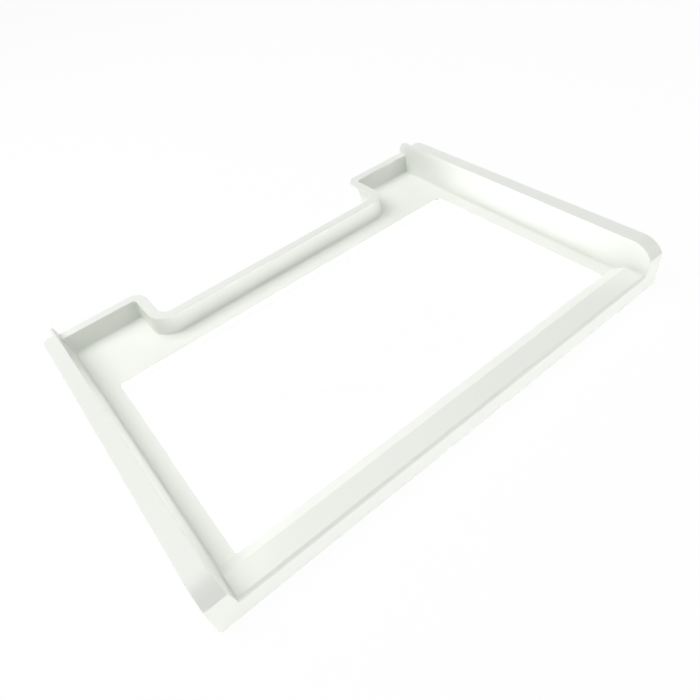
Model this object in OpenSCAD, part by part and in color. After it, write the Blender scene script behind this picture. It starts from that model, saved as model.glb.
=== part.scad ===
// Refrigerator shelf: a thin white moulded frame around a clear glass pane.
// Millimetres. The origin is the middle of the footprint, on the plane that the shelf rests on.
// +X runs to the right, +Y to the back and +Z up. The plain fascia is the front.

/* [Overall size] */
// Width over the outer edges of the two side flanges
shelf_w = 500; // [480:1:520]
// Depth from the fascia to the back of the rear corners
shelf_d = 355; // [345:1:375]
// Height of the front band above the plane that the shelf rests on
band_h = 22; // [21:0.5:26]
// Wall thickness of the moulding
wall_t = 2.2; // [2:0.1:2.5]

/* [Side walls and flanges] */
// Height of the side flanges above the front band
flange_rise = 28; // [24:1:32]
// Width of each flange at its back end, with the wall below it
flange_back_w = 14; // [13:0.5:15]
// Width of each flange at its front end, with the wall below it
flange_front_w = 16.8; // [16:0.2:18]
// Distance by which each flange stops short of the rear edge
flange_stop = 19.5; // [16:0.5:24]
// How far the inner face of a side wall leans outwards, from the ledge to the top
wall_lean = 5.5; // [3:0.5:6]
// Plan radius of each flange's outer corner at its back end
flange_end_r = 6; // [3:0.5:8]
// Radius of a side wall's top corner at its back end
wall_end_r = 8; // [4:0.5:10]
// Radius of the bend where a flange falls to the fascia
waterfall_r = 25; // [20:1:27]
// Angle that this bend turns through before it meets the fascia in a crease
waterfall_turn = 60; // [55:1:70]

/* [Front band] */
// Depth of the flat top of the front band
band_d = 21.5; // [18:0.5:23]
// Radius of the band's front edge
band_edge_r = 3; // [2:0.5:4]
// Depth of the slope from the flat top down to the glass
slope_d = 12.7; // [11:0.1:15]

/* [Rear wall] */
// Height of the rear wall's top strip above the front band
rear_rise = 14; // [10:1:18]
// Width of the top strip, which is turned outwards
strip_w = 11; // [9:0.2:12]
// How far the rear wall's inner face leans outwards, from the ledge to the strip
rear_lean = 1.8; // [1:0.1:2.4]
// Width of the notch in the rear edge
notch_w = 284; // [250:2:300]
// Depth of the notch
notch_d = 56; // [48:1:60]
// Plan radius of the strip's outer edge at the two corners beside the notch
corner_r = 15; // [13:0.5:18]
// Plan radius of the strip's outer edge in the notch's own corners
notch_r = 12; // [8:0.5:16]

/* [Ledge and glass] */
// Depth of the ledge below the front band
ledge_drop = 8; // [7:0.5:9]
// Width of the glass that shows
opening_w = 426; // [400:2:426]
// Width of the ledge between the glass and the middle of the rear wall
rear_ledge = 23.1; // [20:0.1:26]
// Plan radius of the opening's corners
opening_r = 3; // [2:0.5:6]
// Thickness of the lip over the edge of the glass
lip_t = 1.4; // [1.2:0.1:1.8]
// Thickness of the lip under the edge of the glass
under_lip_t = 2; // [1.6:0.1:2.4]
// Thickness of the glass
glass_t = 4; // [3.2:0.2:4]
// Width of the glass edge that the frame holds, on each side
glass_grip = 6; // [5:0.5:7]
// Distance by which the lower lip stays back from the upper one
under_lip_back = 2; // [1:0.5:3]
// Gap between the glass and the groove that is moulded around it
glass_fit = 0; // [0:0.05:0.2]

/* [Underside ribs] */
// Thickness of the ribs
rib_t = 1.4; // [1.2:0.1:1.8]
// Height of the ribs' lower edge above the plane that the shelf rests on
rib_lift = 3; // [2:0.5:5]
// Spacing of the ribs beside the glass
side_pitch = 36; // [28:1:48]
// Spacing of the ribs under the front band and behind the glass
cross_pitch = 38; // [30:1:50]
// Ribs across each rear corner
corner_ribs = 2; // [1:1:3]

/* [Which node] */
// The node to draw

/* [Hidden] */
$fn = 96;
white = [0.95, 0.96, 0.94];
clear = [0.86, 0.93, 0.92, 0.35];
// How far a cutting shape runs past the face that it cuts
past = 1;
// How far the side sections run past both ends, before they are cut to length
reach = 20;

// Heights of the main faces
ledge_z = band_h - ledge_drop;
rear_z = band_h + rear_rise;
flange_z = band_h + flange_rise;

// The side walls stand closer together at the front than at the back
flange_back_y = shelf_d - flange_stop;
splay = atan((flange_front_w - flange_back_w) / flange_back_y);
side_front_x = shelf_w / 2 - flange_front_w - wall_lean;
bend_y = waterfall_r * sin(waterfall_turn);

// Rear wall, measured from the foot of its inner face to the strip's outer edge
rim_w = rear_lean + strip_w;
corner_y = shelf_d - rim_w;
middle_y = corner_y - notch_d;

// Glass and groove
opening_y0 = band_d + slope_d;
opening_y1 = middle_y - rear_ledge;
glass_top = ledge_z - lip_t;
glass_z = glass_top - glass_t;
groove_z = glass_z - under_lip_t;

// Half the length of the front band, so that its ends lie inside the leaning side walls
band_lean = wall_lean * ledge_drop / (flange_z - ledge_z);
band_half = side_front_x + (wall_t + band_lean) / 2;

// X of the inner face of a side wall at the ledge, a distance y behind the fascia
function side_x(y) = side_front_x + y * tan(splay);

// Height of the sloped face of the front band, a distance y behind the fascia
function slope_z(y) = band_h - ledge_drop * (y - band_d) / slope_d;

// Both sides of the shelf, from a shape drawn for the right-hand side
module both_sides() {
    children();
    mirror([1, 0, 0]) children();
}

// A section drawn as (back, up), run in the X direction from x0 to x1
module run_across(x0, x1) {
    translate([x0, 0, 0]) rotate([90, 0, 90]) linear_extrude(x1 - x0) children();
}

// A section drawn as (outwards, up), run along the slightly splayed line of a side wall
module run_along_side() {
    translate([side_front_x, 0, 0]) rotate([0, 0, -splay])
        translate([0, shelf_d + reach, 0]) rotate([90, 0, 0])
            linear_extrude(shelf_d + 2 * reach) children();
}

// Rectangle from corner a to corner b with all four corners rounded
module rounded_rect(a, b, r) {
    translate([a[0] + r, a[1]]) square([b[0] - a[0] - 2 * r, b[1] - a[1]]);
    translate([a[0], a[1] + r]) square([b[0] - a[0], b[1] - a[1] - 2 * r]);
    for (x = [a[0] + r, b[0] - r], y = [a[1] + r, b[1] - r]) translate([x, y]) circle(r);
}

// The opening over the glass, made larger all round by grow
module opening_plan(grow) {
    rounded_rect([-opening_w / 2 - grow, opening_y0 - grow],
        [opening_w / 2 + grow, opening_y1 + grow], opening_r + max(grow, 0));
}

// Side view of a flange and its fall to the fascia, made smaller all round by inset
module fall_profile(inset) {
    r = waterfall_r - inset;
    top_z = flange_z - inset;
    translate([inset, -past]) square([flange_back_y - inset, top_z - r + past]);
    translate([bend_y, 0]) square([flange_back_y - bend_y, top_z]);
    intersection() {
        translate([bend_y, top_z - r]) circle(r);
        translate([inset, 0]) square([bend_y - inset + past, flange_z]);
    }
}

// Side view of a whole side wall: it follows the fall and runs on to the rear edge
module wall_profile() {
    fall_profile(0);
    square_y = bend_y + past;
    translate([square_y, 0]) square([shelf_d - wall_end_r - square_y, flange_z]);
    translate([square_y, 0]) square([shelf_d - square_y, flange_z - wall_end_r]);
    translate([shelf_d - wall_end_r, flange_z - wall_end_r]) circle(wall_end_r);
}

// Section of a side wall, with the skirt below the ledge
module wall_section() {
    polygon([[0, 0], [wall_t, 0], [wall_t, ledge_z], [wall_t + wall_lean, flange_z],
        [wall_lean, flange_z], [0, ledge_z]]);
}

// Everything on one side of a side wall's middle line: outwards with side 1, inwards with side -1
module half_section(side) {
    half = wall_t / 2;
    polygon([[half, 0], [side * shelf_w, 0], [side * shelf_w, flange_z], [half + wall_lean, flange_z],
        [half, ledge_z]]);
}

// What the rounding takes away from a flange's outer corner at its back end
module flange_end_cut() {
    translate([shelf_w / 2 - flange_end_r, flange_back_y - flange_end_r, 0])
        linear_extrude(flange_z + past) difference() {
            square(flange_end_r + past);
            circle(flange_end_r);
        }
}

// Side wall, and the flange that turns outwards from it and falls to the fascia
module side_wall() {
    intersection() {
        run_along_side() wall_section();
        run_across(0, shelf_w / 2) wall_profile();
    }
    difference() {
        intersection() {
            run_along_side() half_section(1);
            run_across(0, shelf_w / 2) intersection() {
                difference() {
                    fall_profile(0);
                    fall_profile(wall_t);
                }
                square([flange_back_y, flange_z]);
            }
        }
        flange_end_cut();
    }
}

// Section of the front band: fascia, rounded edge, flat top, slope and the block for the groove
module band_section() {
    edge_y = band_edge_r * sin(waterfall_turn);
    groove_y = opening_y0 - glass_grip - wall_t;
    slope_t = wall_t / cos(atan(ledge_drop / slope_d));
    difference() {
        polygon([[0, 0], [0, band_h], [band_d, band_h], [opening_y0, ledge_z], [opening_y0, groove_z],
            [groove_y, groove_z], [groove_y, slope_z(groove_y) - slope_t], [band_d, band_h - slope_t],
            [wall_t, band_h - slope_t], [wall_t, 0]]);
        difference() {
            translate([-past, band_h - band_edge_r]) square([edge_y + past, band_edge_r + past]);
            translate([edge_y, band_h - band_edge_r]) circle(band_edge_r);
        }
    }
}

// Section of the rear wall, drawn as (outwards from the foot of the inner face, up)
module rear_section() {
    polygon([[0, 0], [wall_t, 0], [wall_t, ledge_z - wall_t], [rear_lean + wall_t, rear_z - wall_t],
        [rim_w - wall_t / 2, rear_z - wall_t], [rim_w - wall_t / 2, rear_z], [rear_lean, rear_z],
        [0, ledge_z]]);
    translate([rim_w - wall_t / 2, rear_z - wall_t / 2]) circle(wall_t / 2);
}

// Right half of the rear wall: one section led round the two bends beside the notch
module rear_wall_half() {
    notch_x = notch_w / 2;
    outer_y = shelf_d - notch_d;
    intersection() {
        run_across(notch_x + corner_r, shelf_w / 2) translate([corner_y, 0]) rear_section();
        run_along_side() half_section(-1);
    }
    translate([notch_x + corner_r, shelf_d - corner_r, 0]) rotate([0, 0, 90])
        rotate_extrude(angle = 90) translate([corner_r - rim_w, 0]) rear_section();
    translate([notch_x + rim_w, outer_y + notch_r, 0]) rotate([90, 0, 180])
        linear_extrude(notch_d - notch_r - corner_r) rear_section();
    translate([notch_x - notch_r, outer_y + notch_r, 0]) rotate([0, 0, -90])
        rotate_extrude(angle = 90) translate([notch_r + rim_w, 0]) mirror([1, 0]) rear_section();
    run_across(0, notch_x - notch_r) translate([middle_y, 0]) rear_section();
}

// Outline of the ledge, with its edge inside the walls all round
module ledge_plan() {
    half = wall_t / 2;
    foot_x = notch_w / 2 + rim_w - half;
    foot_r = notch_r + rim_w - half;
    tip_r = corner_r - rim_w + half;
    front_y = opening_y0 - wall_t;
    back_y = corner_y + half;
    difference() {
        polygon([[-side_x(front_y) - half, front_y], [side_x(front_y) + half, front_y],
            [side_x(back_y) + half, back_y], [-side_x(back_y) - half, back_y]]);
        translate([-foot_x, middle_y + half + foot_r]) square([2 * foot_x, notch_d]);
        translate([-foot_x + foot_r, middle_y + half]) square([2 * (foot_x - foot_r), notch_d]);
        for (side = [-1, 1]) {
            translate([side * (foot_x - foot_r), middle_y + half + foot_r]) circle(foot_r);
            translate([side * (foot_x + tip_r / 2), back_y - tip_r / 2]) difference() {
                square(tip_r, center = true);
                translate([side * tip_r / 2, -tip_r / 2]) circle(tip_r);
            }
        }
    }
}

// Ledge around the glass, and the deeper ring under it that holds the edge of the glass
module ledge() {
    translate([0, 0, ledge_z - wall_t]) linear_extrude(wall_t) ledge_plan();
    translate([0, 0, groove_z]) linear_extrude(ledge_z - groove_z - wall_t / 2)
        opening_plan(glass_grip + wall_t);
}

// A rib across the X direction at x, from y0 to y1, up to z1
module rib_at_x(x, y0, y1, z1) {
    translate([x - rib_t / 2, y0, rib_lift]) cube([rib_t, y1 - y0, z1 - rib_lift]);
}

// A rib across the Y direction at y, from x0 to x1, up to z1
module rib_at_y(y, x0, x1, z1) {
    translate([x0, y - rib_t / 2, rib_lift]) cube([x1 - x0, rib_t, z1 - rib_lift]);
}

// Ribs for the right half of the underside
module ribs_half() {
    half = wall_t / 2;
    groove_x = opening_w / 2 + glass_grip + half;
    front_y = opening_y0 - glass_grip - half;
    rear_y = opening_y1 + glass_grip + half;
    top = ledge_z - half;
    for (y = [opening_y0 + side_pitch / 2 : side_pitch : opening_y1]) {
        rib_at_y(y, groove_x, side_x(y) + half, top);
    }
    for (x = [cross_pitch / 2 : cross_pitch : band_half - rib_t]) {
        run_across(x - rib_t / 2, x + rib_t / 2) polygon([[half, rib_lift], [front_y, rib_lift],
            [front_y, slope_z(front_y) - half], [band_d, band_h - half], [half, band_h - half]]);
    }
    for (x = [cross_pitch / 2 : cross_pitch : notch_w / 2 - notch_r]) {
        rib_at_x(x, rear_y, middle_y + half, top);
    }
    corner_x0 = notch_w / 2 + rim_w;
    corner_x1 = side_x(middle_y);
    for (i = [1 : corner_ribs]) {
        x = corner_x0 + (corner_x1 - corner_x0) * i / (corner_ribs + 1);
        rib_at_x(x, rear_y, corner_y + half, top);
        y = middle_y + (corner_y - middle_y) * i / (corner_ribs + 1);
        rib_at_y(y, corner_x0 - half, side_x(y) + half, top);
    }
    rib_at_y(middle_y + half, notch_w / 2 - notch_r, side_x(middle_y) + half, top);
}

// The whole moulding
module shelf_frame() {
    color(white) translate([0, -shelf_d / 2, 0]) difference() {
        union() {
            both_sides() {
                side_wall();
                rear_wall_half();
                ribs_half();
            }
            run_across(-band_half, band_half) band_section();
            ledge();
        }
        translate([0, 0, glass_z - glass_fit]) linear_extrude(glass_t + 2 * glass_fit)
            opening_plan(glass_grip + glass_fit);
        translate([0, 0, glass_top - past / 2]) linear_extrude(band_h) opening_plan(0);
        translate([0, 0, -past]) linear_extrude(glass_z + 2 * past) opening_plan(under_lip_back);
    }
}

// The pane, held in the frame's groove
module glass_pane() {
    color(clear) translate([0, -shelf_d / 2, glass_z]) linear_extrude(glass_t)
        opening_plan(glass_grip);
}

shelf_frame();
glass_pane();
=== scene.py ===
"""Refrigerator shelf, dressed for the picture: a white moulded frame and the clear glass pane in it."""

import math

import bpy
from bpy.props import FloatProperty, FloatVectorProperty, PointerProperty
from bpy.types import Operator, Panel, PropertyGroup
from mathutils import Matrix, Vector


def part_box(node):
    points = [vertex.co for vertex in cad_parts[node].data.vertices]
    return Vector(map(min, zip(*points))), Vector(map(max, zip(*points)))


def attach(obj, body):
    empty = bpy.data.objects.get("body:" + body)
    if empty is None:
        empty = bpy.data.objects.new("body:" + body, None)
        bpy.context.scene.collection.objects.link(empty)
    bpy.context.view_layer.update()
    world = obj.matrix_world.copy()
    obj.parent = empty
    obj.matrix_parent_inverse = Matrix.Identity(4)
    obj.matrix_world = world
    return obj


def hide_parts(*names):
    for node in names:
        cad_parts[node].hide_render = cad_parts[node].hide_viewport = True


bl_info = {
    "name": "Refrigerator Shelf",
    "version": (1, 0, 0),
    "blender": (4, 5, 0),
    "location": "View3D > Sidebar > Shelf",
    "description": "Builds the moulded frame, the glass pane and the stage of a refrigerator shelf",
    "category": "Object",
}

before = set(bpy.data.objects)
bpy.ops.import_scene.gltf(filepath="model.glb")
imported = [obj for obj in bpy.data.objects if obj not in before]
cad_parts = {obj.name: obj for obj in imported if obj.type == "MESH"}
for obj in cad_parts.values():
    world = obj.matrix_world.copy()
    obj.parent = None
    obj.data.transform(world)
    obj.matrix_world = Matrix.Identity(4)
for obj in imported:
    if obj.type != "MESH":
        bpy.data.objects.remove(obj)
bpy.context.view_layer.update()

MOULDING = "shelf_frame"
PANE = "glass_pane"
ROOT = "root"

# The moulding's sizes are in millimetres: x and y from its middle, z from the plane that it rests on
MM = 0.001
HALF_WIDTH = 250.0
HALF_OPENING = 213.0
FRONT_Y = -177.5
LEDGE_Z = 14.0
CREASE_Z = 20.5
BAND_Z = 22.0
STRIP_Z = 36.0
FLANGE_Z = 50.0

# Heights that differ by less than SAME count as one. A limit stays CLEAR of what it parts, or a HAIR
# where the next point is close.
SAME = 0.06
CLEAR = 0.1
HAIR = 0.001

# An edge that folds by more degrees than this is a corner of the moulding, not a step in a curve
SHARP = 60.0

MERGE_DISTANCE = 0.002 * MM
FLAT_ANGLE = math.radians(0.4)
WHITE = (1.0, 1.0, 1.0, 1.0)


class ShelfFrameSettings(PropertyGroup):
    """Sizes and colours of the moulded frame."""

    foot_radius: FloatProperty(
        name="Foot radius", description="Radius of the fillets where the walls rise from the ledge",
        default=0.0018, min=0.0005, max=0.003, unit="LENGTH")
    brow_radius: FloatProperty(
        name="Brow radius", description="Radius where a side wall's inner face turns into the flange",
        default=0.0006, min=0.0003, max=0.0021, unit="LENGTH")
    nose_depth: FloatProperty(
        name="Nose depth", description="Height of the band's rounded front edge, down to its crease",
        default=0.0034, min=0.0015, max=0.005, unit="LENGTH")
    strip_radius: FloatProperty(
        name="Strip radius", description="Radius where the rear wall turns into its top strip",
        default=0.0008, min=0.0003, max=0.0009, unit="LENGTH")
    lip_radius: FloatProperty(
        name="Lip radius", description="Radius of the thin lip over the edge of the glass",
        default=0.0004, min=0.0001, max=0.0006, unit="LENGTH")
    rim_radius: FloatProperty(
        name="Rim radius", description="Radius of the flanges' and the fascia's outer edges",
        default=0.0005, min=0.0001, max=0.001, unit="LENGTH")
    colour: FloatVectorProperty(
        name="Plastic colour", description="Colour of the white plastic",
        default=(0.848, 0.868, 0.82), min=0.0, max=1.0, subtype="COLOR", size=3)
    shade_colour: FloatVectorProperty(
        name="Plastic cloud colour", description="Slightly deeper tone that clouds the white plastic",
        default=(0.825, 0.848, 0.797), min=0.0, max=1.0, subtype="COLOR", size=3)
    roughness: FloatProperty(
        name="Roughness", description="Roughness of the plastic's skin",
        default=0.34, min=0.05, max=1.0, subtype="FACTOR")


class ShelfGlassSettings(PropertyGroup):
    """Sizes and colours of the glass pane."""

    corner_radius: FloatProperty(
        name="Corner radius", description="Plan radius of the pane's corners",
        default=0.009, min=0.002, max=0.02, unit="LENGTH")
    edge_radius: FloatProperty(
        name="Edge radius", description="Radius of the ground edge of the pane",
        default=0.0008, min=0.0002, max=0.0015, unit="LENGTH")
    play: FloatProperty(
        name="Play", description="Hair's breadth by which the pane is drawn smaller than the groove",
        default=0.00005, min=0.0, max=0.0002, unit="LENGTH")
    colour: FloatVectorProperty(
        name="Glass colour", description="Tint of the glass",
        default=(0.996, 1.0, 0.998), min=0.0, max=1.0, subtype="COLOR", size=3)


class ShelfStageSettings(PropertyGroup):
    """Camera, lamps and table."""

    lens: FloatProperty(
        name="Lens", description="Focal length of the camera in millimetres",
        default=29.70, min=10.0, max=200.0)
    lamps: FloatProperty(
        name="Lamps", description="Strength of all the lamps together",
        default=0.97, min=0.0, max=3.0)
    sky: FloatProperty(
        name="Sky", description="Strength of the even light from all round",
        default=0.02, min=0.0, max=3.0)
    glow: FloatProperty(
        name="Glow", description="Strength of the light that the white table sends up by itself",
        default=1.0, min=0.0, max=3.0)
    glow_behind: FloatProperty(
        name="Glow behind", description="The same for the part of the table behind the shelf",
        default=0.4, min=0.0, max=3.0)
    glow_below: FloatProperty(
        name="Glow below", description="The same for the bright sheet under the glass",
        default=1.8, min=0.0, max=4.0)
    floor_colour: FloatVectorProperty(
        name="Floor colour", description="Colour of the table under the shelf",
        default=(0.96, 0.96, 0.96), min=0.0, max=1.0, subtype="COLOR", size=3)
    floor_shade: FloatProperty(
        name="Floor shade", description="Share of the shelf's shadow that the white table shows",
        default=0.05, min=0.0, max=1.0, subtype="FACTOR")


def feed(socket, value):
    """Links a value to a socket, or writes a plain number or colour into it."""
    if isinstance(value, Value):
        value.tree.links.new(value.socket, socket)
    else:
        socket.default_value = value


class Value:
    """A shader socket that takes part in Python arithmetic."""

    def __init__(self, tree, socket):
        self.tree, self.socket = tree, socket

    def math(self, operation, *values):
        """Adds a Math node and returns its result."""
        node = self.tree.nodes.new("ShaderNodeMath")
        node.operation = operation
        for socket, value in zip(node.inputs, values):
            feed(socket, value)
        return Value(self.tree, node.outputs[0])

    def __add__(self, other):
        return self.math("ADD", self, other)

    __radd__ = __add__

    def __sub__(self, other):
        return self.math("SUBTRACT", self, other)

    def __rsub__(self, other):
        return self.math("SUBTRACT", other, self)

    def __mul__(self, other):
        return self.math("MULTIPLY", self, other)

    __rmul__ = __mul__

    def __abs__(self):
        return self.math("ABSOLUTE", self)

    def clamped(self):
        """The same value, kept between 0 and 1."""
        return self.math("MINIMUM", self.math("MAXIMUM", self, 0.0), 1.0)


class Finish:
    """The nodes of a material or of the world while they are put together."""

    def __init__(self, owner, output="ShaderNodeOutputMaterial"):
        owner.use_nodes = True
        self.owner, self.tree = owner, owner.node_tree
        self.tree.nodes.clear()
        self.output = self.tree.nodes.new(output)

    def node(self, kind, output=0, **sockets):
        """Adds a node, feeds its sockets and returns one of its outputs."""
        made = self.tree.nodes.new(kind)
        for name, value in sockets.items():
            key = name.replace("_", " ")
            feed(next(s for s in made.inputs if s.name == key and s.enabled), value)
        return Value(self.tree, made.outputs[output])

    def join(self, kind, *values):
        """Adds a node and feeds its sockets in their order."""
        made = self.tree.nodes.new(kind)
        for socket, value in zip(made.inputs, values):
            feed(socket, value)
        return Value(self.tree, made.outputs[0])

    def mix(self, factor, a, b):
        """Shader a where factor is 0, shader b where it is 1."""
        return self.join("ShaderNodeMixShader", factor, a, b)

    def both(self, a, b):
        """Shaders a and b together."""
        return self.join("ShaderNodeAddShader", a, b)

    def blend(self, factor, a, b):
        """Colour a where factor is 0, colour b where it is 1."""
        made = self.tree.nodes.new("ShaderNodeMix")
        made.data_type = "RGBA"
        # A Mix node's colour sockets follow those for numbers and for vectors
        first, second, result = made.inputs[6], made.inputs[7], made.outputs[2]
        for socket, value in ((made.inputs["Factor"], factor), (first, (*a, 1.0)), (second, (*b, 1.0))):
            feed(socket, value)
        return Value(self.tree, result)

    def place(self):
        """The point in Object coordinates."""
        return self.node("ShaderNodeTexCoord", output="Object")

    def axes(self):
        """The three Object coordinates as values."""
        made = self.tree.nodes.new("ShaderNodeSeparateXYZ")
        feed(made.inputs[0], self.place())
        return [Value(self.tree, socket) for socket in made.outputs]

    def noise(self, scale, detail):
        """Noise round 0.5, with as many grains in a metre as the scale says."""
        return self.node("ShaderNodeTexNoise", Vector=self.place(), Scale=scale, Detail=detail)

    def patches(self, scale, detail, contrast, shift):
        """Soft patches between 0 and 1: noise with more contrast."""
        return (self.noise(scale, detail) * contrast + shift).clamped()

    def rays(self, *kinds):
        """1 for light on one of the given kinds of ray, and 0 for all other light."""
        return sum(self.node("ShaderNodeLightPath", output=f"Is {kind} Ray") for kind in kinds).clamped()

    def seen(self):
        """1 for what the camera sees, also by way of a mirror or through glass, and 0 for other light."""
        return self.rays("Camera", "Glossy", "Transmission")

    def show(self, shader):
        """Hands the shader to the output and returns the finished material or world."""
        feed(self.output.inputs["Surface"], shader)
        return self.owner


def plastic(settings):
    """White glossy plastic with a faint cloudiness and a fine moulded skin."""
    f = Finish(bpy.data.materials.new("white_moulded_plastic"))
    cloud = f.patches(scale=9.0, detail=3.0, contrast=1.6, shift=-0.3)
    skin = f.noise(scale=900.0, detail=2.0)
    swell = f.noise(scale=55.0, detail=1.0)
    skin_share, roughness_play = 0.35, 0.10
    bump = f.node(
        "ShaderNodeBump", Strength=0.10, Distance=0.4 * MM,
        Height=skin * skin_share + swell * (1.0 - skin_share))
    return f.show(f.node(
        "ShaderNodeBsdfPrincipled", Base_Color=f.blend(cloud, settings.colour, settings.shade_colour),
        Roughness=swell * roughness_play + (settings.roughness - roughness_play / 2.0),
        IOR=1.49, Specular_IOR_Level=0.3, Normal=bump))


def clear_glass(settings):
    """Clear glass that lets the lamps through, with the faintest smear of handling on its skin."""
    f = Finish(bpy.data.materials.new("clear_shelf_glass"))
    clean_roughness, smear_roughness = 0.01, 0.03
    smear = f.patches(scale=14.0, detail=4.0, contrast=2.0, shift=-0.9)
    glass = f.node(
        "ShaderNodeBsdfPrincipled", Base_Color=(*settings.colour, 1.0),
        Roughness=smear * smear_roughness + clean_roughness, IOR=1.5, Transmission_Weight=1.0)
    through = f.node("ShaderNodeBsdfTransparent", Color=WHITE)
    return f.show(f.mix(f.rays("Shadow", "Diffuse"), glass, through))


def select_only(piece):
    """Leaves one piece selected and active, so that an operator acts on nothing else."""
    bpy.ops.object.select_all(action="DESELECT")
    piece.select_set(True)
    bpy.context.view_layer.objects.active = piece


def open_to_edit(piece, mode):
    """Goes into edit mode on one piece, to work on its points (VERT) or its edges (EDGE).

    The choice comes first, because on the way in Blender spreads the selection of the kind that is set.
    """
    select_only(piece)
    bpy.context.tool_settings.mesh_select_mode = (mode == "VERT", mode == "EDGE", False)
    bpy.ops.object.mode_set(mode="EDIT")


def select_nothing(mesh):
    """Clears the selection of faces, edges and points, as a start for another."""
    for part in (mesh.polygons, mesh.edges, mesh.vertices):
        part.foreach_set("select", [False] * len(part))


def select_edges(piece, wanted):
    """Selects the edges for which wanted(one end, other end, fold) is true and returns their number.

    The ends are in millimetres. The fold is the angle between the edge's two faces, in degrees: above
    zero on an outer edge, below zero in an inner corner.
    """
    mesh = piece.data
    select_nothing(mesh)
    faces_at = {}
    for polygon in mesh.polygons:
        for key in polygon.edge_keys:
            faces_at.setdefault(key, []).append(polygon)
    count = 0
    for edge in mesh.edges:
        first, second = faces_at[edge.key]
        start, end = (mesh.vertices[i].co / MM for i in edge.vertices)
        fold = math.degrees(first.normal.angle(second.normal, 0.0))
        corners = list(first.vertices)
        after = corners[(corners.index(edge.vertices[0]) + 1) % len(corners)]
        along = end - start if after == edge.vertices[1] else start - end
        if first.normal.cross(along).dot(second.normal) > 0.0:
            fold = -fold
        if wanted(start, end, fold):
            edge.select = True
            for i in edge.vertices:
                mesh.vertices[i].select = True
            count += 1
    return count


def join_faces(piece, flat=None):
    """Merges points that lie together and, given an angle, faces that meet flatter than that."""
    open_to_edit(piece, "VERT")
    bpy.ops.mesh.select_all(action="SELECT")
    bpy.ops.mesh.remove_doubles(threshold=MERGE_DISTANCE)
    if flat is not None:
        bpy.ops.mesh.dissolve_limited(angle_limit=flat)
    bpy.ops.object.mode_set(mode="OBJECT")


def deepen_nose(piece, depth):
    """Stretches the band's rounded front edge downwards, so that its crease comes to the given depth."""
    wall_x, back_y = 231.0, FRONT_Y + 5.5
    select_nothing(piece.data)
    count = 0
    for vertex in piece.data.vertices:
        x, y, z = vertex.co / MM
        if abs(x) < wall_x and y < back_y and CREASE_Z - SAME < z < BAND_Z - HAIR:
            vertex.select = True
            count += 1
    if not count:
        raise RuntimeError("the band's front edge was not found")
    open_to_edit(piece, "VERT")
    bpy.ops.transform.resize(
        value=(1.0, 1.0, depth / MM / (BAND_Z - CREASE_Z)), center_override=(0.0, 0.0, BAND_Z * MM))
    bpy.ops.object.mode_set(mode="OBJECT")


def round_edges(piece, wanted, radius, steps):
    """Rounds the chosen edges with the bevel operator, as by hand."""
    if not select_edges(piece, wanted):
        raise RuntimeError("no edge of " + piece.name + " fits this rounding")
    open_to_edit(piece, "EDGE")
    bpy.ops.mesh.bevel(
        offset=radius, offset_type="OFFSET", segments=steps, profile=0.5, clamp_overlap=False,
        miter_outer="SHARP", miter_inner="SHARP")
    bpy.ops.object.mode_set(mode="OBJECT")


def even_out_shading(piece):
    """Smooths the rounded edges and keeps the flat faces flat.

    A corner's normal is the mean, by area, of the faces round it that turn little from its own. Small
    faces belong to a rounding and may turn far, large ones meet smoothly only in a shallow curve.
    """
    select_only(piece)
    bpy.ops.object.shade_smooth()
    mesh = piece.data
    small, shallow, steep = 12.0 * MM * MM, math.radians(15.0), math.radians(50.0)
    around = {}
    for polygon in mesh.polygons:
        for i in polygon.vertices:
            around.setdefault(i, []).append(polygon)
    normals = []
    for polygon in mesh.polygons:
        for i in polygon.vertices:
            total = Vector()
            for other in around[i]:
                limit = shallow if min(polygon.area, other.area) > small else steep
                if polygon.normal.angle(other.normal, 0.0) < limit:
                    total += other.normal * other.area
            normals.append(total.normalized() if total.length > 0.0 else polygon.normal.copy())
    mesh.normals_split_custom_set(normals)


def level(a, b, z):
    """True where both ends lie at height z."""
    return abs(a.z - z) < SAME and abs(b.z - z) < SAME


def beyond(a, b, x):
    """True where both ends lie further from the middle than x."""
    return min(abs(a.x), abs(b.x)) > x


def within(a, b, x):
    """True where both ends lie nearer to the middle than x."""
    return max(abs(a.x), abs(b.x)) < x


def at_front(a, b):
    """True where both ends lie in the front face."""
    return max(a.y, b.y) < FRONT_Y + CLEAR


def foot(a, b, fold):
    """Where the walls rise from the ledge, and the upright inner corners of the rear pockets."""
    front_y, rear_y, shortest = 160.0, 167.5, 10.0
    pocket_corner = abs(a.z - b.z) > shortest and max(a.z, b.z) < STRIP_Z + CLEAR \
        and min(a.y, b.y) > front_y and max(a.y, b.y) < rear_y
    return fold <= -SHARP and (level(a, b, LEDGE_Z) or pocket_corner)


def band_end(a, b, fold):
    """Where the front band's top and slope run into a side wall."""
    wall_x, nose_y, slope_y = 227.0, -175.4, -142.5
    return fold <= -SHARP and beyond(a, b, wall_x) and min(a.y, b.y) > nose_y and max(a.y, b.y) < slope_y \
        and min(a.z, b.z) > LEDGE_Z - CLEAR and abs(max(a.z, b.z) - BAND_Z) < CLEAR


def brow(a, b, fold):
    """A side wall's top inner edge, with the fall and the upright edge below it at the front."""
    wall_x, flange_x = 228.5, 236.3
    foot_z, shortest = LEDGE_Z + 2.0, 5.0
    fall_z, rear_y = 37.0, 177.4
    upright = at_front(a, b) and min(a.z, b.z) > foot_z and abs(a.z - b.z) > shortest
    top = min(a.z, b.z) > fall_z and max(a.y, b.y) < rear_y
    return fold >= SHARP and beyond(a, b, wall_x) and within(a, b, flange_x) and (upright or top)


def strip_edge(a, b, fold):
    """The inner edge of the rear wall's top strip."""
    wall_x = 233.95
    return fold >= SHARP and level(a, b, STRIP_Z) and within(a, b, wall_x)


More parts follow.
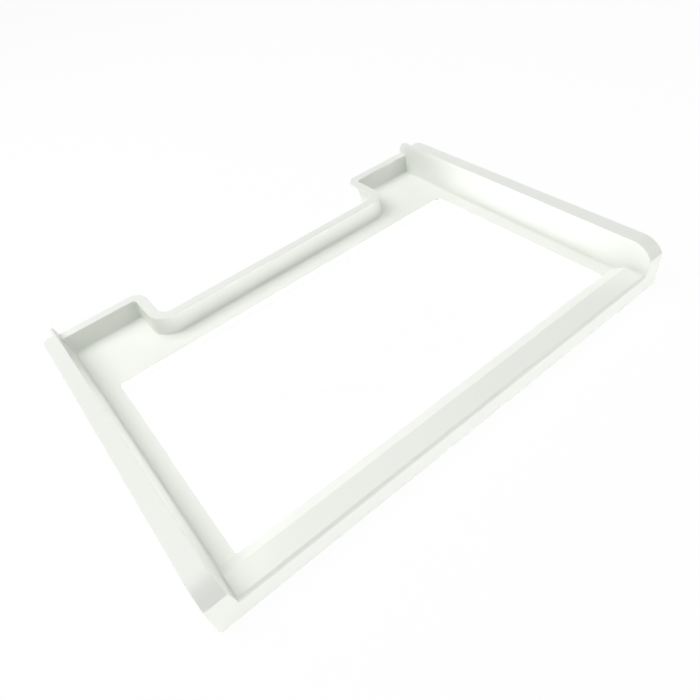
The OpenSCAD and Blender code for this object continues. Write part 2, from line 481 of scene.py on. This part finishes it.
def lip(a, b, fold):
    """The side and rear edges of the lip over the glass."""
    least_fold, front_y, rear_y = 55.0, -142.9, 85.8
    return fold > least_fold and level(a, b, LEDGE_Z) and within(a, b, HALF_OPENING + CLEAR) \
        and front_y < (a.y + b.y) / 2.0 < rear_y


def rim(a, b, fold):
    """The outer edges of the flanges, and the fascia's upright and lower edges."""
    wall_x, corner_x, end_y, fall_z = 238.1, 246.4, 157.3, 36.5
    outer = beyond(a, b, corner_x) or (level(a, b, FLANGE_Z) and min(a.y, b.y) > end_y)
    flange = beyond(a, b, wall_x) and min(a.z, b.z) > fall_z and outer
    fascia = at_front(a, b) and (level(a, b, 0.0) or beyond(a, b, HALF_WIDTH - CLEAR))
    return fold >= SHARP and (flange or fascia)


def pane_corner(a, b, fold):
    """The upright edges of the pane."""
    return abs(a.z - b.z) > 1.0


def pane_rim(a, b, fold):
    """The level edges round the pane's two faces."""
    return fold >= SHARP and level(a, b, b.z)


class SHELF_OT_frame(Operator):
    """Copies the moulding's shape, joins its faces and rounds its edges"""

    bl_idname = "shelf.frame"
    bl_label = "Moulded frame"

    def execute(self, context):
        settings = context.scene.shelf_frame
        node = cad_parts[MOULDING]
        piece = bpy.data.objects.new("frame_moulding", node.data.copy())
        context.scene.collection.objects.link(piece)
        join_faces(piece, FLAT_ANGLE)
        deepen_nose(piece, settings.nose_depth)
        for wanted, radius, steps in (
                (foot, settings.foot_radius, 4), (band_end, settings.foot_radius, 4),
                (brow, settings.brow_radius, 5), (strip_edge, settings.strip_radius, 3),
                (lip, settings.lip_radius, 2), (rim, settings.rim_radius, 2)):
            round_edges(piece, wanted, radius, steps)
        join_faces(piece)
        even_out_shading(piece)
        piece.data.materials.clear()
        piece.data.materials.append(plastic(settings))
        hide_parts(MOULDING)
        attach(piece, ROOT)
        return {"FINISHED"}


class SHELF_OT_glass(Operator):
    """Makes the pane from a block with rounded corners and ground edges"""

    bl_idname = "shelf.glass"
    bl_label = "Glass pane"

    def execute(self, context):
        settings = context.scene.shelf_glass
        low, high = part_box(PANE)
        bpy.ops.object.select_all(action="DESELECT")
        bpy.ops.mesh.primitive_cube_add(size=1.0, location=(low + high) / 2)
        piece = context.object
        piece.name = "pane"
        piece.scale = high - low - 2 * settings.play * Vector((1.0, 1.0, 1.0))
        bpy.ops.object.transform_apply(location=True, rotation=True, scale=True)
        round_edges(piece, pane_corner, settings.corner_radius, steps=12)
        round_edges(piece, pane_rim, settings.edge_radius, steps=2)
        even_out_shading(piece)
        piece.data.materials.append(clear_glass(settings))
        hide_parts(PANE)
        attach(piece, ROOT)
        return {"FINISHED"}


TABLE_WIDTH = 12.0
TABLE_Z = -0.0002
SENSOR_WIDTH = 36.0

# Soft round lamps: direction and height in degrees, distance and width in metres, brightness of the disc
LAMPS = {
    "over": (90.0, 78.0, 2.0, 2.2, 1.8),
    "over_left": (180.0, 60.0, 2.0, 1.5, 2.1),
    "left_back": (135.0, 45.0, 2.2, 1.4, 3.15),
    "front_right": (315.0, 35.0, 2.2, 1.4, 2.1),
    "front_low": (270.0, 15.0, 2.2, 1.0, 0.25),
}

# Where the photograph was taken from, found by fitting the shelf's corners to the picture
CAMERA = Matrix((
    (0.777361, 0.519212, -0.355145, -0.220629),
    (-0.612993, 0.498479, -0.612991, -0.376511),
    (-0.141240, 0.694217, 0.705772, 0.400288),
    (0.0, 0.0, 0.0, 1.0)))


def under_glass(f):
    """1 on the part of the table that lies under the pane, and 0 around it."""
    fade_per_metre = 100.0
    low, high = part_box(PANE)
    middle, half = (low + high) / 2, (high - low) / 2
    x, y, _ = f.axes()
    inside_x, inside_y = (
        ((half_side - abs(value - centre)) * fade_per_metre).clamped()
        for value, centre, half_side in ((x, middle.x, half.x), (y, middle.y, half.y)))
    return inside_x * inside_y


def table_top(settings):
    """White table: it shows white to the camera, still takes the shelf's soft shadow, and sends up light."""
    f = Finish(bpy.data.materials.new("white_table"))
    grain_depth, fade_start_y, fade_per_metre = 0.01, -0.1, 4.0
    grain = f.noise(scale=40.0, detail=2.0) * grain_depth
    matt = f.node("ShaderNodeBsdfDiffuse", Color=(*settings.floor_colour, 1.0))
    white, glow, behind, below = (
        f.node("ShaderNodeEmission", Color=WHITE, Strength=strength)
        for strength in (1.0, settings.glow, settings.glow_behind, settings.glow_below))
    further_back = ((f.axes()[1] - fade_start_y) * fade_per_metre).clamped()
    lit = f.both(matt, f.mix(under_glass(f), f.mix(further_back, glow, behind), below))
    share = f.seen() * (1.0 - settings.floor_shade - grain)
    return f.show(f.mix(share, f.mix(f.seen(), lit, matt), white))


def soft_sky(settings):
    """Even light from all round that shows white to the camera."""
    f = Finish(bpy.data.worlds.new("soft_sky"), "ShaderNodeOutputWorld")
    dim, white = (
        f.node("ShaderNodeBackground", Color=WHITE, Strength=strength) for strength in (settings.sky, 1.0))
    return f.show(f.mix(f.seen(), dim, white))


class SHELF_OT_stage(Operator):
    """Makes the table, the lamps, the sky and the camera"""

    bl_idname = "shelf.stage"
    bl_label = "Stage"

    def execute(self, context):
        settings = context.scene.shelf_stage
        bpy.ops.object.select_all(action="DESELECT")
        bpy.ops.mesh.primitive_plane_add(size=TABLE_WIDTH, location=(0.0, 0.0, TABLE_Z))
        floor = context.object
        floor.name = "table"
        floor.data.materials.append(table_top(settings))
        for name, (direction, height, distance, width, brightness) in LAMPS.items():
            self.lamp(context, name, direction, height, distance, width, brightness * settings.lamps)
        context.scene.world = soft_sky(settings)
        self.camera(context, settings)
        context.scene.view_settings.view_transform = "Standard"
        return {"FINISHED"}

    def lamp(self, context, name, direction, height, distance, width, brightness):
        """Hangs a round lamp that faces the shelf."""
        turn, rise = math.radians(direction), math.radians(height)
        place = distance * Vector((
            math.cos(turn) * math.cos(rise), math.sin(turn) * math.cos(rise), math.sin(rise)))
        light = bpy.data.lights.new(name, "AREA")
        light.shape, light.size = "DISK", width
        # A disc sends out its brightness times pi times its area, in watts
        area = math.pi * (width / 2.0) ** 2
        light.energy = brightness * math.pi * area
        lamp = bpy.data.objects.new(name, light)
        lamp.location = place
        lamp.rotation_mode = "QUATERNION"
        lamp.rotation_quaternion = place.to_track_quat("Z", "Y")
        context.scene.collection.objects.link(lamp)

    def camera(self, context, settings):
        """Puts the camera where the photograph was taken from."""
        data = bpy.data.cameras.new("photo_view")
        data.sensor_width = SENSOR_WIDTH
        data.lens = settings.lens
        camera = bpy.data.objects.new("photo_view", data)
        camera.matrix_world = CAMERA
        context.scene.collection.objects.link(camera)
        context.scene.camera = camera


class SHELF_PT_panel(Panel):
    """Lists the shelf's settings and operators"""

    bl_label = "Refrigerator shelf"
    bl_idname = "SHELF_PT_panel"
    bl_space_type = "VIEW_3D"
    bl_region_type = "UI"
    bl_category = "Shelf"

    def draw(self, context):
        for group, (settings, operator) in GROUPS.items():
            box = self.layout.box()
            for name in settings.__annotations__:
                box.prop(getattr(context.scene, group), name)
            box.operator(operator.bl_idname)


GROUPS = {
    "shelf_frame": (ShelfFrameSettings, SHELF_OT_frame),
    "shelf_glass": (ShelfGlassSettings, SHELF_OT_glass),
    "shelf_stage": (ShelfStageSettings, SHELF_OT_stage),
}
CLASSES = (*(made for pair in GROUPS.values() for made in pair), SHELF_PT_panel)


def register():
    for made in CLASSES:
        bpy.utils.register_class(made)
    for name, (settings, _) in GROUPS.items():
        setattr(bpy.types.Scene, name, PointerProperty(type=settings))


def unregister():
    for name in GROUPS:
        delattr(bpy.types.Scene, name)
    for made in reversed(CLASSES):
        bpy.utils.unregister_class(made)


def main():
    register()
    bpy.ops.shelf.frame()
    bpy.ops.shelf.glass()
    bpy.ops.shelf.stage()


if __name__ == "__main__":
    main()
